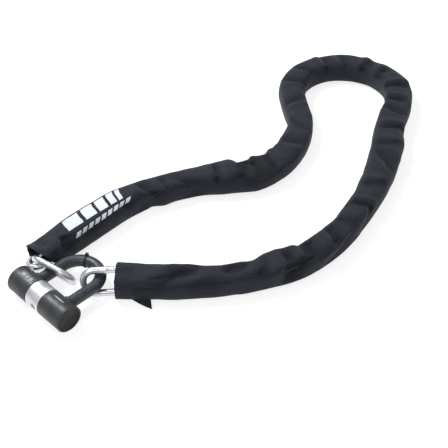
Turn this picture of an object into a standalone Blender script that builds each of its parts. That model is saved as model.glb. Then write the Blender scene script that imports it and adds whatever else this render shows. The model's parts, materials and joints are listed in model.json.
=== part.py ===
"""Chain lock: a shackle lock that closes a sleeved security chain into a loop.

The shackle is the fixed piece. The lock body slides off its legs, and the chain
leaves its two end links, runs round a loop on the floor and comes back.
Lengths are in millimetres and are scaled to metres where a mesh is made.
"""

import math

import bpy
import bmesh
from mathutils import Matrix, Vector

MM = 0.001
GAP = 0.35

# Lock body, in its own frame: X along the body, Y towards the crown, Z up.
LOCK_CENTRE = (-228.0, 783.0)
LOCK_HEIGHT = 18.5
LOCK_TURN = -44.5
BODY_LENGTH = 104.0
BODY_RADIUS = 18.5
CASE_RADIUS = 15.5
CASE_LENGTH = 98.0
COVER_BORE = 15.85
BAND_FROM = -14.0
BAND_TO = 10.5
CAP_THICKNESS = 2.4

# Shackle.
LEG_OFFSET = 30.0
LEG_TOP = 54.0
ROD_RADIUS = 6.2
COATING_RADIUS = 8.0
COATING_BORE = 6.55
COATING_FOOT = 17.4
LEG_FOOT = -9.0
LEG_HOLE_RADIUS = 6.55
LEG_HOLE_FOOT = -11.0
TIE_ANGLE = 118.0
TIE_THICKNESS = 1.0
SEAL_RADIUS = 8.2
SEAL_POCKET_RADIUS = 8.6
SEAL_FROM = 11.0
SEAL_TO = 14.2

# Key cylinder and bolts.
KEY_X = 1.5
PLUG_RADIUS = 4.8
PLUG_BORE = 5.15
PLUG_FACE = -17.9
TAIL_RADIUS = 3.0
HOUSING_RADIUS = 8.0
HOUSING_BORE = 8.35
KEYWAY_ANGLE = -36.0
CAM_LONG = 11.8
CAM_SHORT = 6.8
CAVITY_RADIUS = 12.8
CAVITY_FROM = -4.8
CAVITY_TO = 6.2
HOUSING_FROM = -13.0
HOUSING_TO = -5.2
PLUG_NECK = -4.6
TAIL_END = 5.4
KEYWAY_WIDTH = 6.4
KEYWAY_THICKNESS = 2.0
KEYWAY_END = -6.5
CLIP_RADIUS = 5.6
BOLT_RADIUS = 4.0
BOLT_BORE = 4.35
BOLT_INNER = 8.0
BOLT_OUTER = 22.4
NOTCH_REACH = 28.4
NOTCH_RADIUS = 4.5

# End links: inside width and outside length of each ring.
END_BAR = 10.0
END_INNER_WIDTH = 20.5
END_LENGTH = 72.0
RIGHT_LINK_CENTRE = (-150.5, 812.0, 19.8)
RIGHT_LINK_TILT = 4.0
LEFT_LINK_CENTRE = (-221.8, 833.3, 18.75)
LEFT_LINK_TURN = -35.0
LINK_LEAN = 63.0
LEFT_PULL_ANGLE = -12.0
LEFT_PULL_HEADING = 57.0
LEFT_PULL_CLEARANCE = 1.0

# Ordinary links.
BAR = 10.0
LINK_INNER_WIDTH = 16.0
LINK_INNER_LENGTH = 50.8
PITCH_RIGHT = 47.5
PITCH_LEFT = 48.3
PITCH_FAR = 48.0
RIGHT_COUNT = 14
LEFT_COUNT = 12
FAR_COUNT = 6
CHAIN_HEIGHT = 18.0
FIRST_ROLL = -38.0
LAST_ROLLS = (-50.0, 33.0, -64.0, 14.0)
LAST_LINKS_RISE = 0.6

# Floor route of the chain, from each end link towards the far bend.
RIGHT_ROUTE = [(-57, 810), (-12, 813), (34, 820), (83, 840), (117, 862), (143, 889), (174, 928),
               (205, 984), (230, 1046), (246, 1107), (261, 1160), (281, 1210), (294, 1262)]
LEFT_ROUTE = [(-210, 895), (-161, 947), (-124, 980), (-88, 995), (-54, 1012), (-18, 1020), (15, 1027),
              (51, 1040), (84, 1069), (109, 1106), (120, 1155), (115, 1205), (105, 1245)]

# Folding modes: joints between links, counted from each end of the chain.
# Each mode turns a run of links on both sides by the same angle, so the loop stays closed.
SWING_MODE = ((0, 11), (0, 10))
FOLD_MODE = ((2, 6), (3, 7))

# Sleeve.
SLEEVE_WIDTH = 52.0
SLEEVE_HEIGHT = 36.0
SLEEVE_MOUTH_HEIGHT = 42.0
HEIGHT_AFTER_RIGHT_MOUTH = 40.0
HEIGHTS_BEFORE_LEFT_MOUTH = (39.5, 38.5)
SLEEVE_WALL = 1.3
SLEEVE_SIDES = 16
SLEEVE_SQUARENESS = 3.6
RIGHT_MOUTH = 14.0
RIGHT_MOUTH_WIDTH = 48.0
LEFT_MOUTH = 2.0
LEFT_MOUTH_WIDTH = 44.0
LEFT_MOUTH_SHIFT = 3.0
SLEEVE_SPLIT = 0.2
TAB_CORNERS = ((-117.0, 793.5), (-91.0, 793.5), (-92.0, 782.0))
TAB_THICKNESS = 1.3

# Rigid runs of the chain between two hinges, from the right end link to the left one.
RUN_NAMES = ('right_mouth', 'right_middle', 'right_outer', 'far', 'left_outer', 'left_middle', 'left_mouth')

# Middle of the footprint in the layout's coordinates.
ORIGIN = (18.2, 1042.6)


# ---------------------------------------------------------------- layout

def curve_points(points):
    """A smooth curve through the given floor points, sampled about every millimetre."""
    pts = [Vector(p) for p in points]
    pts = [2 * pts[0] - pts[1]] + pts + [2 * pts[-1] - pts[-2]]
    out = []
    for i in range(1, len(pts) - 2):
        a, b, c, d = pts[i - 1:i + 3]
        steps = max(2, int((c - b).length))
        for k in range(steps):
            t = k / steps
            out.append(0.5 * (2 * b + (c - a) * t + (2 * a - 5 * b + 4 * c - d) * t * t
                              + (3 * b - a - 3 * c + d) * t ** 3))
    out.append(pts[-2])
    return out


def march(curve, count, pitch):
    """Joint positions along a curve, one pitch apart in a straight line."""
    joints = [curve[0]]
    index = 0
    for _ in range(count):
        while (curve[index + 1] - joints[-1]).length < pitch:
            index += 1
        low, high = 0.0, 1.0
        for _ in range(40):
            mid = (low + high) / 2
            if (curve[index].lerp(curve[index + 1], mid) - joints[-1]).length < pitch:
                low = mid
            else:
                high = mid
        joints.append(curve[index].lerp(curve[index + 1], low))
    return joints


def bend(start, end, count, pitch):
    """Joint positions of a run of links that bends evenly to the left."""
    chord = (end - start).length
    low, high = 1e-6, 2 * math.pi / count
    for _ in range(60):
        mid = (low + high) / 2
        if pitch * math.sin(count * mid / 2) / math.sin(mid / 2) > chord:
            low = mid
        else:
            high = mid
    heading = math.atan2(end.y - start.y, end.x - start.x) - low * (count - 1) / 2
    joints = [start]
    for k in range(count):
        angle = heading + low * k
        joints.append(joints[-1] + pitch * Vector((math.cos(angle), math.sin(angle))))
    return joints


def ring_axes(turn, tilt, lean):
    """Long axis, across axis and normal of an end link."""
    long_axis = Vector((1, 0, 0))
    across = Vector((0, math.cos(math.radians(lean)), math.sin(math.radians(lean))))
    rotation = Matrix.Rotation(math.radians(turn), 3, 'Z') @ Matrix.Rotation(math.radians(-tilt), 3, 'Y')
    return rotation @ long_axis, rotation @ across, rotation @ long_axis.cross(across)


def right_link_axes():
    return ring_axes(0.0, RIGHT_LINK_TILT, LINK_LEAN)


def left_link_axes():
    return ring_axes(LEFT_LINK_TURN, 0.0, -LINK_LEAN)


def chain_joints():
    """Every joint between two links, from the right end link round to the left one."""
    crown = (END_INNER_WIDTH + END_BAR) / 2
    straight = END_LENGTH / 2 - END_BAR / 2 - crown
    long_axis, across, _ = right_link_axes()
    right_end = Vector(RIGHT_LINK_CENTRE) + long_axis * (END_LENGTH / 2 - END_BAR)
    long_axis, across, _ = left_link_axes()
    slide = math.radians(LEFT_PULL_ANGLE)
    pull = math.radians(LEFT_PULL_HEADING)
    left_end = (Vector(LEFT_LINK_CENTRE) - long_axis * (straight + crown * math.cos(slide))
                - across * crown * math.sin(slide)
                - Vector((math.cos(pull), math.sin(pull), 0)) * (END_BAR / 2 + LEFT_PULL_CLEARANCE))
    right = march(curve_points([right_end.xy] + RIGHT_ROUTE), RIGHT_COUNT, PITCH_RIGHT)
    left = march(curve_points([left_end.xy] + LEFT_ROUTE), LEFT_COUNT, PITCH_LEFT)
    far = bend(right[-1], left[-1], FAR_COUNT, PITCH_FAR)
    flat = right + far[1:-1] + left[::-1]
    joints = [Vector((p.x, p.y, CHAIN_HEIGHT)) for p in flat]
    joints[0].z = right_end.z
    joints[1].z = (right_end.z + CHAIN_HEIGHT) / 2
    joints[-1].z = left_end.z
    joints[-2].z = CHAIN_HEIGHT + LAST_LINKS_RISE
    joints[-3].z = CHAIN_HEIGHT + LAST_LINKS_RISE
    return joints


def link_rolls(count):
    """Roll of each link about its length, in degrees: neighbours are a quarter turn apart."""
    rolls = [45.0 if i % 2 else -45.0 for i in range(count)]
    rolls[0] = FIRST_ROLL
    for i, roll in enumerate(LAST_ROLLS):
        rolls[count - len(LAST_ROLLS) + i] = roll
    return rolls


def mode_axes(joints, mode):
    """Four hinge positions of a folding mode, shared out so that its two runs match exactly."""
    (right_in, right_out), (left_in, left_out) = mode
    last = len(joints) - 1
    a, b = joints[right_in], joints[right_out]
    d, c = joints[last - left_in], joints[last - left_out]
    miss = (b - a) - (c - d)
    miss.z = 0.0
    return a + miss / 4, b - miss / 4, c + miss / 4, d - miss / 4


def hinge_axes(joints):
    """Hinge position of each run of the chain, in the order of RUN_NAMES."""
    swing = mode_axes(joints, SWING_MODE)
    fold = mode_axes(joints, FOLD_MODE)
    return swing[0], fold[0], fold[1], swing[1], swing[2], fold[2], fold[3]


def split_joints(joints):
    """Indices of the joints where the chain hinges, in order along the chain."""
    last = len(joints) - 1
    indices = set()
    for (right_in, right_out), (left_in, left_out) in (SWING_MODE, FOLD_MODE):
        indices.update((right_in, right_out, last - left_in, last - left_out))
    return sorted(indices)


# ---------------------------------------------------------------- solids

def clear_scene():
    for obj in list(bpy.data.objects):
        bpy.data.objects.remove(obj, do_unlink=True)


def material(name, colour, metallic, roughness):
    mat = bpy.data.materials.new(name)
    mat.use_nodes = True
    shader = mat.node_tree.nodes['Principled BSDF']
    shader.inputs['Base Color'].default_value = (*colour, 1.0)
    shader.inputs['Metallic'].default_value = metallic
    shader.inputs['Roughness'].default_value = roughness
    return mat


def hang(obj, hinge):
    """Let a piece that was modelled in place turn with an unrotated empty on its hinge."""
    obj.parent = hinge
    obj.location = -hinge.location


def loft(name, rings, loop, mat, parent=None):
    """A closed solid through matching rings of points, in millimetres and in the parent's frame."""
    bm = bmesh.new()
    rows = [[bm.verts.new(Vector(p) * MM) for p in ring] for ring in rings]
    sides = len(rings[0])
    pairs = list(zip(rows, rows[1:]))
    if loop:
        pairs.append((rows[-1], rows[0]))
    for first, second in pairs:
        for k in range(sides):
            n = (k + 1) % sides
            bm.faces.new((first[k], first[n], second[n], second[k]))
    if not loop:
        bm.faces.new(rows[0])
        bm.faces.new(rows[-1])
    bmesh.ops.recalc_face_normals(bm, faces=bm.faces)
    mesh = bpy.data.meshes.new(name)
    bm.to_mesh(mesh)
    bm.free()
    mesh.shade_smooth()
    mesh.set_sharp_from_angle(angle=math.radians(35))
    mesh.materials.append(mat)
    obj = bpy.data.objects.new(name, mesh)
    bpy.context.collection.objects.link(obj)
    obj.parent = parent
    return obj


def circle(centre, axis_u, axis_v, radius, sides):
    """Corners of a regular polygon that stands for a circle."""
    centre = Vector(centre)
    return [centre + axis_u * (radius * math.cos(2 * math.pi * k / sides))
            + axis_v * (radius * math.sin(2 * math.pi * k / sides)) for k in range(sides)]


AXES = {
    'X': (Vector((1, 0, 0)), Vector((0, 1, 0)), Vector((0, 0, 1))),
    'Y': (Vector((0, 1, 0)), Vector((0, 0, 1)), Vector((1, 0, 0))),
    'Z': (Vector((0, 0, 1)), Vector((1, 0, 0)), Vector((0, 1, 0))),
}


def turned(name, axis, centre, profile, mat, parent=None, sides=24):
    """A solid of revolution: profile holds (distance along the axis, radius) pairs."""
    along, u, v = AXES[axis]
    rings = [circle(Vector(centre) + along * d, u, v, r, sides) for d, r in profile]
    return loft(name, rings, False, mat, parent)


def turned_ring(name, axis, centre, profile, mat, parent=None, sides=24):
    """A solid of revolution with a hole: the profile is a closed loop."""
    along, u, v = AXES[axis]
    rings = [circle(Vector(centre) + along * d, u, v, r, sides) for d, r in profile]
    return loft(name, rings, True, mat, parent)


def cut(target, cutter):
    """Cut one object out of another and hide the cutter."""
    cutter.hide_render = True
    cutter.display_type = 'WIRE'
    modifier = target.modifiers.new(cutter.name, 'BOOLEAN')
    modifier.operation = 'DIFFERENCE'
    modifier.solver = 'EXACT'
    modifier.object = cutter


def chamfered(start, end, radius, edge):
    """Profile of a plain cylinder with both edges broken."""
    return [(start, radius - edge), (start + edge, radius), (end - edge, radius), (end, radius - edge)]


def tube_profile(start, end, radius, bore, edge):
    """Profile of a plain tube with its outer edges broken."""
    return chamfered(start, end, radius, edge) + [(end, bore), (start, bore)]


# ---------------------------------------------------------------- lock body

def side_word(side):
    return 'left' if side < 0 else 'right'


def leg_cutter(name, side, radius, start, end, mat, parent):
    """A plain cylinder round the axis of one leg."""
    return turned(name, 'Y', (side * LEG_OFFSET, 0, 0), [(start, radius), (end, radius)], mat, parent, 20)


def add_lock_case(steel, lock):
    """Hardened inner cylinder with its bolt bore, leg holes and key bore."""
    half = CASE_LENGTH / 2
    case = turned('lock_case', 'X', (0, 0, 0), chamfered(-half, half, CASE_RADIUS, 0.8), steel, lock, 32)
    cut(case, turned('cut_cam_cavity', 'Y', (KEY_X, 0, 0),
                     [(CAVITY_FROM, CAVITY_RADIUS), (CAVITY_TO, CAVITY_RADIUS)], steel, lock))
    cut(case, turned('cut_key_bore', 'Y', (KEY_X, 0, 0),
                     [(-CASE_RADIUS - 4, HOUSING_BORE), (0, HOUSING_BORE)], steel, lock))
    outside = CASE_RADIUS + 4
    for side in (-1, 1):
        word = side_word(side)
        cut(case, leg_cutter('cut_case_leg_' + word, side, LEG_HOLE_RADIUS, LEG_HOLE_FOOT, outside,
                             steel, lock))
        cut(case, leg_cutter('cut_case_seal_' + word, side, SEAL_POCKET_RADIUS, SEAL_FROM - 0.4, outside,
                             steel, lock))
        cut(case, turned('cut_bolt_bore_' + word, 'X', (0, 0, 0),
                         [(side * 5.0, BOLT_BORE), (side * (LEG_OFFSET - 1), BOLT_BORE)], steel, lock, 16))


def add_covers(dark, lock):
    """Two moulded covers with a hole each for a leg."""
    half = BODY_LENGTH / 2
    for side, start, end in ((-1, -half, BAND_FROM - GAP / 2), (1, BAND_TO + GAP / 2, half)):
        word = side_word(side)
        cover = turned_ring(word + '_cover', 'X', (0, 0, 0),
                            tube_profile(start, end, BODY_RADIUS, COVER_BORE, 0.7), dark, lock, 32)
        cut(cover, leg_cutter('cut_cover_leg_' + word, side, SEAL_POCKET_RADIUS,
                              BODY_RADIUS / 2, BODY_RADIUS + 4, dark, lock))


def add_band(bright, lock):
    """Bright centre band with a round opening for the key plug."""
    band = turned_ring('centre_band', 'X', (0, 0, 0),
                       tube_profile(BAND_FROM + GAP / 2, BAND_TO - GAP / 2, BODY_RADIUS, COVER_BORE, 0.3),
                       bright, lock, 32)
    cut(band, turned('cut_band_key', 'Y', (KEY_X, 0, 0),
                     [(-BODY_RADIUS - 4, PLUG_BORE), (-BODY_RADIUS / 2, PLUG_BORE)], bright, lock, 24))


def add_end_caps(black, lock):
    """Plugs that close the open ends of the covers."""
    start = CASE_LENGTH / 2 + GAP
    for side in (-1, 1):
        ends = sorted((side * start, side * (start + CAP_THICKNESS)))
        turned(side_word(side) + '_end_cap', 'X', (0, 0, 0),
               chamfered(ends[0], ends[1], CASE_RADIUS, 0.4), black, lock)


def add_leg_seals(rubber, lock):
    """Rubber rings that wipe the legs where they enter the case."""
    profile = [(SEAL_FROM, SEAL_RADIUS), (SEAL_TO, SEAL_RADIUS),
               (SEAL_TO, LEG_HOLE_RADIUS), (SEAL_FROM, LEG_HOLE_RADIUS)]
    for side in (-1, 1):
        turned_ring(side_word(side) + '_leg_seal', 'Y', (side * LEG_OFFSET, 0, 0), profile, rubber, lock)


def add_key_cylinder(brass, steel, lock, plug_frame):
    """Fixed housing, turning plug with its keyway, cam and clip."""
    housing = [(HOUSING_FROM, HOUSING_RADIUS), (HOUSING_TO, HOUSING_RADIUS),
               (HOUSING_TO, PLUG_BORE), (HOUSING_FROM, PLUG_BORE)]
    turned_ring('cylinder_housing', 'Y', (KEY_X, 0, 0), housing, brass, lock)
    plug_profile = [(PLUG_FACE, PLUG_RADIUS - 0.5), (PLUG_FACE + 0.5, PLUG_RADIUS), (PLUG_NECK, PLUG_RADIUS),
                    (PLUG_NECK, TAIL_RADIUS), (TAIL_END, TAIL_RADIUS)]
    plug = turned('key_plug', 'Y', (0, 0, 0), plug_profile, brass, plug_frame)
    cut(plug, keyway_cutter(brass, plug_frame))
    add_cam(steel, plug_frame)
    clip = [(TAIL_END - 1.8, CLIP_RADIUS), (TAIL_END - 0.6, CLIP_RADIUS),
            (TAIL_END - 0.6, TAIL_RADIUS + GAP), (TAIL_END - 1.8, TAIL_RADIUS + GAP)]
    turned_ring('plug_clip', 'Y', (0, 0, 0), clip, steel, plug_frame)


def keyway_cutter(brass, plug_frame):
    """A flat slot in the face of the plug, turned to the key's angle."""
    wide, thick = KEYWAY_WIDTH / 2, KEYWAY_THICKNESS / 2
    outline = ((-wide, -thick), (wide, -thick), (wide, thick), (-wide, thick))
    slot = [[(x, y, z) for x, z in outline] for y in (PLUG_FACE - 2, KEYWAY_END)]
    cutter = loft('cut_keyway', slot, False, brass, plug_frame)
    cutter.rotation_euler = (0, math.radians(-KEYWAY_ANGLE), 0)
    return cutter


def add_cam(steel, plug_frame):
    """Oval cam on the plug's tail: it stands upright when unlocked and lies across when locked."""
    bore = TAIL_RADIUS + GAP
    front, back = PLUG_NECK + 0.6, TAIL_END - 2.2
    rings = []
    for y, wide, tall in ((front, CAM_SHORT, CAM_LONG), (back, CAM_SHORT, CAM_LONG),
                          (back, bore, bore), (front, bore, bore)):
        rings.append(circle((0, y, 0), Vector((wide, 0, 0)), Vector((0, 0, tall)), 1.0, 24))
    loft('bolt_cam', rings, True, steel, plug_frame)


def add_bolts(steel, lock):
    """Two bolts that the cam pushes outwards into the notches of the legs."""
    for side in (-1, 1):
        ends = sorted((KEY_X + side * BOLT_INNER, side * BOLT_OUTER))
        turned(side_word(side) + '_bolt', 'X', (0, 0, 0),
               chamfered(ends[0], ends[1], BOLT_RADIUS, 0.5), steel, lock, 16)


# ---------------------------------------------------------------- shackle

def shackle_stations(foot, crown_steps):
    """Points and headings along the shackle's centre line, from the left leg to the right one."""
    stations = [(Vector((-LEG_OFFSET, foot, 0)), Vector((0, 1, 0)))]
    for k in range(crown_steps + 1):
        angle = math.pi - math.pi * k / crown_steps
        out = Vector((math.cos(angle), math.sin(angle), 0))
        centre = Vector((0, LEG_TOP, 0)) + LEG_OFFSET * out
        stations.append((centre, Vector((out.y, -out.x, 0))))
    stations.append((Vector((LEG_OFFSET, foot, 0)), Vector((0, -1, 0))))
    return stations


def pipe_rings(stations, radius, sides):
    """Rings square to the centre line at each station."""
    up = Vector((0, 0, 1))
    return [circle(centre, up.cross(heading), up, radius, sides) for centre, heading in stations]


def add_shackle(steel, vinyl, black, lock):
    """Hardened rod, its vinyl coating and the thin tie round the crown."""
    stations = shackle_stations(LEG_FOOT, 12)
    chamfer = 0.8
    feet = [(point - Vector((0, chamfer, 0)), heading) for point, heading in (stations[0], stations[-1])]
    rings = (pipe_rings(feet[:1], ROD_RADIUS - chamfer, 12) + pipe_rings(stations, ROD_RADIUS, 12)
             + pipe_rings(feet[1:], ROD_RADIUS - chamfer, 12))
    rod = loft('shackle_rod', rings, False, steel, lock)
    for side in (-1, 1):
        notch = [(side * LEG_OFFSET / 2, NOTCH_RADIUS), (side * NOTCH_REACH, NOTCH_RADIUS)]
        cut(rod, turned('cut_notch_' + side_word(side), 'X', (0, 0, 0), notch, steel, lock, 16))
    skin = shackle_stations(COATING_FOOT, 12)
    loft('shackle_coating', pipe_rings(skin, COATING_RADIUS, 16) + pipe_rings(skin, COATING_BORE, 16)[::-1],
         True, vinyl, lock)
    add_tie(black, lock)


def add_tie(black, lock):
    """Thin ring round the coating, near the left end of the crown."""
    angle = math.radians(TIE_ANGLE)
    out = Vector((math.cos(angle), math.sin(angle), 0))
    centre = Vector((0, LEG_TOP, 0)) + LEG_OFFSET * out
    heading = Vector((out.y, -out.x, 0))
    inner = COATING_RADIUS + GAP
    outer = inner + TIE_THICKNESS
    rings = [pipe_rings([(centre + heading * d, heading)], r, 16)[0]
             for d, r in ((-1.2, outer - 0.3), (-0.7, outer), (0.7, outer), (1.2, outer - 0.3),
                          (1.2, inner), (-1.2, inner))]
    loft('coating_tie', rings, True, black, lock)


# ---------------------------------------------------------------- chain

def link_rings(centre, long_axis, across, length, width, bar, sides, crown_steps):
    """Rings along the closed oval of a link. Length is outside, width is inside."""
    crown = (width + bar) / 2
    straight = length / 2 - bar / 2 - crown
    normal = long_axis.cross(across)
    rings = []
    for end in (1, -1):
        for k in range(crown_steps + 1):
            angle = math.pi * (k / crown_steps - 0.5)
            out = (long_axis * math.cos(angle) + across * math.sin(angle)) * end
            middle = centre + long_axis * (straight * end) + out * crown
            rings.append(circle(middle, out, normal, bar / 2, sides))
    return rings


def add_end_links(zinc):
    """The two rings that the shackle passes through. The right one rolls about its own middle,
    the left one about its lower bar."""
    lower_bar = (END_INNER_WIDTH + END_BAR) / 2
    for name, centre, axes, offset in (('right_end_link', RIGHT_LINK_CENTRE, right_link_axes(), 0.0),
                                       ('left_end_link', LEFT_LINK_CENTRE, left_link_axes(), lower_bar)):
        middle = floor_frame(centre)
        rings = link_rings(middle, axes[0], axes[1], END_LENGTH, END_INNER_WIDTH, END_BAR, 10, 8)
        link = loft(name, rings, True, zinc)
        hang(link, frame(name + '_frame', middle + axes[1] * offset, 0.0))


def add_links(joints, run_frames, zinc):
    """One ring per pair of joints, numbered from the right end of the chain."""
    splits = split_joints(joints)
    rolls = link_rolls(len(joints) - 1)
    length = LINK_INNER_LENGTH + 2 * BAR
    for i, roll in enumerate(rolls):
        start, end = joints[i], joints[i + 1]
        along = (end - start).normalized()
        side = Vector((0, 0, 1)).cross(along).normalized()
        up = along.cross(side)
        across = side * math.cos(math.radians(roll)) + up * math.sin(math.radians(roll))
        rings = link_rings(floor_frame((start + end) / 2), along, across, length, LINK_INNER_WIDTH, BAR, 8, 6)
        link = loft('chain_link_%02d' % (i + 1), rings, True, zinc)
        hang(link, run_frames[sum(i >= split for split in splits[1:])])


# ---------------------------------------------------------------- sleeve

def sleeve_section(centre, heading, stretch, width, height, inset):
    """One rounded-square ring of the sleeve, standing on the floor, square to its heading."""
    side = Vector((-heading.y, heading.x, 0))
    power = 2.0 / SLEEVE_SQUARENESS
    widest = math.cos(math.pi / SLEEVE_SIDES) ** power
    points = []
    for k in range(SLEEVE_SIDES):
        angle = 2 * math.pi * (k + 0.5) / SLEEVE_SIDES
        c, s = math.cos(angle), math.sin(angle)
        x = math.copysign(abs(c) ** power, c) / widest * (width / 2 - inset) * stretch
        z = math.copysign(abs(s) ** power, s) / widest * (height / 2 - inset)
        points.append(Vector((centre.x, centre.y, height / 2 + z)) + side * x)
    return points


def sleeve_stations(joints):
    """Centre, heading, mitre stretch, width and height at each joint between the two mouths."""
    last = len(joints) - 1
    heights = {1: HEIGHT_AFTER_RIGHT_MOUTH, last - 1: HEIGHTS_BEFORE_LEFT_MOUTH[0],
               last - 2: HEIGHTS_BEFORE_LEFT_MOUTH[1]}
    stations = {}
    for i in range(1, last):
        before, here, after = (Vector((j.x, j.y, 0)) for j in joints[i - 1:i + 2])
        first = (here - before).normalized()
        heading = (first + (after - here).normalized()).normalized()
        stations[i] = (here, heading, 1.0 / heading.dot(first), SLEEVE_WIDTH, heights.get(i, SLEEVE_HEIGHT))
    return stations


def slide_to_plane(points, heading, origin, normal, offset):
    """Move points along a heading until they meet a plane."""
    out = []
    for p in points:
        reach = (offset - (p - origin).dot(normal)) / heading.dot(normal)
        out.append(p + heading * reach)
    return out


def mouth_rings(joints, inset):
    """Open ends of the sleeve: the right one is square, the left one runs beside its end link."""
    start = Vector((joints[0].x, joints[0].y, 0))
    heading = Vector((joints[1].x - joints[0].x, joints[1].y - joints[0].y, 0)).normalized()
    right = sleeve_section(start - heading * RIGHT_MOUTH, heading, 1.0, RIGHT_MOUTH_WIDTH,
                           SLEEVE_MOUTH_HEIGHT, inset)
    end = Vector((joints[-1].x, joints[-1].y, 0))
    heading = Vector((joints[-1].x - joints[-2].x, joints[-1].y - joints[-2].y, 0)).normalized()
    end += Vector((heading.y, -heading.x, 0)) * LEFT_MOUTH_SHIFT
    left = sleeve_section(end, heading, 1.0, LEFT_MOUTH_WIDTH, SLEEVE_MOUTH_HEIGHT, inset)
    normal = left_link_axes()[2]
    if normal.z < 0:
        normal = -normal
    left = slide_to_plane(left, heading, Vector(LEFT_LINK_CENTRE), normal, END_BAR / 2 + LEFT_MOUTH)
    return right, left


def sleeve_surface(joints, first, last_index, inset):
    """Rings of one wall of a sleeve segment, between two hinge joints."""
    end_index = len(joints) - 1
    stations = sleeve_stations(joints)
    rings = []
    for i in range(first, last_index + 1):
        if i not in stations:
            continue
        centre, heading, stretch, width, height = stations[i]
        shift = SLEEVE_SPLIT if i == first else -SLEEVE_SPLIT if i == last_index else 0.0
        rings.append(sleeve_section(centre + heading * shift, heading, stretch, width, height, inset))
    right, left = mouth_rings(joints, inset)
    if first == 0:
        rings.insert(0, right)
    if last_index == end_index:
        rings.append(left)
    return [[floor_frame(p) for p in ring] for ring in rings]


def add_sleeve(joints, run_frames, fabric):
    """The fabric sleeve, one open tube per rigid run of the chain."""
    splits = split_joints(joints)
    for name, hinge, first, last in zip(RUN_NAMES, run_frames, splits, splits[1:]):
        outer = sleeve_surface(joints, first, last, 0.0)
        inner = sleeve_surface(joints, first, last, SLEEVE_WALL)
        hang(loft('sleeve_' + name, outer + inner[::-1], True, fabric), hinge)


def add_tab(run_frames, fabric):
    """Small pointed fabric tab that sticks out under the sleeve near its right mouth."""
    rings = [[floor_frame((x, y, z)) for x, y in TAB_CORNERS] for z in (0.0, TAB_THICKNESS)]
    hang(loft('sleeve_tab', rings, False, fabric), run_frames[0])


# ---------------------------------------------------------------- assembly

def floor_frame(point):
    """Shift a layout point so that the footprint is centred on the origin."""
    return Vector((point[0] - ORIGIN[0], point[1] - ORIGIN[1], point[2]))


def frame(name, centre, turn, parent=None):
    """An empty that carries the pieces of one body."""
    empty = bpy.data.objects.new(name, None)
    bpy.context.collection.objects.link(empty)
    empty.location = Vector(centre) * MM
    empty.rotation_euler = (0, 0, math.radians(turn))
    if parent is not None:
        empty.parent = parent
    return empty


def main():
    clear_scene()
    steel = material('hardened steel', (0.42, 0.42, 0.44), 1.0, 0.35)
    zinc = material('zinc plated steel', (0.78, 0.80, 0.83), 1.0, 0.28)
    bright = material('brushed steel', (0.80, 0.81, 0.83), 1.0, 0.25)
    brass = material('brass', (0.70, 0.55, 0.28), 1.0, 0.35)
    dark = material('dark grey coating', (0.055, 0.058, 0.063), 0.1, 0.45)
    black = material('black plastic', (0.02, 0.02, 0.022), 0.0, 0.5)
    vinyl = material('blue-grey vinyl', (0.045, 0.055, 0.065), 0.0, 0.4)
    rubber = material('black rubber', (0.02, 0.02, 0.02), 0.0, 0.7)
    fabric = material('black nylon', (0.028, 0.03, 0.036), 0.0, 0.75)

    place_at = floor_frame((*LOCK_CENTRE, LOCK_HEIGHT))
    shackle_frame = frame('shackle_frame', place_at, LOCK_TURN)
    lock_frame = frame('lock_frame', place_at, LOCK_TURN)
    plug_frame = frame('plug_frame', (KEY_X, 0, 0), 0.0, lock_frame)

    add_shackle(steel, vinyl, black, shackle_frame)
    add_lock_case(steel, lock_frame)
    add_covers(dark, lock_frame)
    add_band(bright, lock_frame)
    add_end_caps(black, lock_frame)
    add_leg_seals(rubber, lock_frame)
    add_key_cylinder(brass, steel, lock_frame, plug_frame)
    add_bolts(steel, lock_frame)

    joints = chain_joints()
    run_frames = [frame('chain_' + name + '_frame', floor_frame(axis), 0.0)
                  for name, axis in zip(RUN_NAMES, hinge_axes(joints))]
    add_end_links(zinc)
    add_links(joints, run_frames, zinc)
    add_sleeve(joints, run_frames, fabric)
    add_tab(run_frames, fabric)


main()
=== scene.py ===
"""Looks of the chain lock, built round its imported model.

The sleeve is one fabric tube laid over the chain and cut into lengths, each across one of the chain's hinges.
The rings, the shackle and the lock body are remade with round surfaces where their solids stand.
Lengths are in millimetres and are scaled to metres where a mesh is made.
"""

import json
import math

import bmesh
import bpy
import numpy as np
from mathutils import Matrix, Vector, noise

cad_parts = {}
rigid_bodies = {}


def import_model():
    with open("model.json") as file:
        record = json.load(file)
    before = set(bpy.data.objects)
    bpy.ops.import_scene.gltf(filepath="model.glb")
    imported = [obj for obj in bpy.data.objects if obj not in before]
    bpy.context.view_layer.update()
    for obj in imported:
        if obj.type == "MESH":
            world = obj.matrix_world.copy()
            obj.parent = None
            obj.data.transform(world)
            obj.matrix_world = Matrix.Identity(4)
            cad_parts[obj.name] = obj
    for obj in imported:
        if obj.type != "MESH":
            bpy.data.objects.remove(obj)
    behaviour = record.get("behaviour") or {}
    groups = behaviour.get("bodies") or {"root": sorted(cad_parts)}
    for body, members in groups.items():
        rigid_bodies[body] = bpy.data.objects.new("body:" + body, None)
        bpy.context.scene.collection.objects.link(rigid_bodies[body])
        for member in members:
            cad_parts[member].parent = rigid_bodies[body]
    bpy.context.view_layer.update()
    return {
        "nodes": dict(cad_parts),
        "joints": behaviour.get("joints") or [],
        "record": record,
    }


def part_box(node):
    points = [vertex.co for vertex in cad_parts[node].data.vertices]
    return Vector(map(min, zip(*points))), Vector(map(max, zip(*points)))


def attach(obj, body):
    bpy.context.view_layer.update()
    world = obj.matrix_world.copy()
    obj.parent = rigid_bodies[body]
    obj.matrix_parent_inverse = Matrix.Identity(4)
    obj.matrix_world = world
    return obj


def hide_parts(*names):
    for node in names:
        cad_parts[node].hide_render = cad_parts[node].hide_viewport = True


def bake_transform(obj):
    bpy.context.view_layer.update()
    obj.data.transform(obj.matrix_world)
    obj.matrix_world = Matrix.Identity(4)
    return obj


MM = 0.001
UP = Vector((0, 0, 1))

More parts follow.
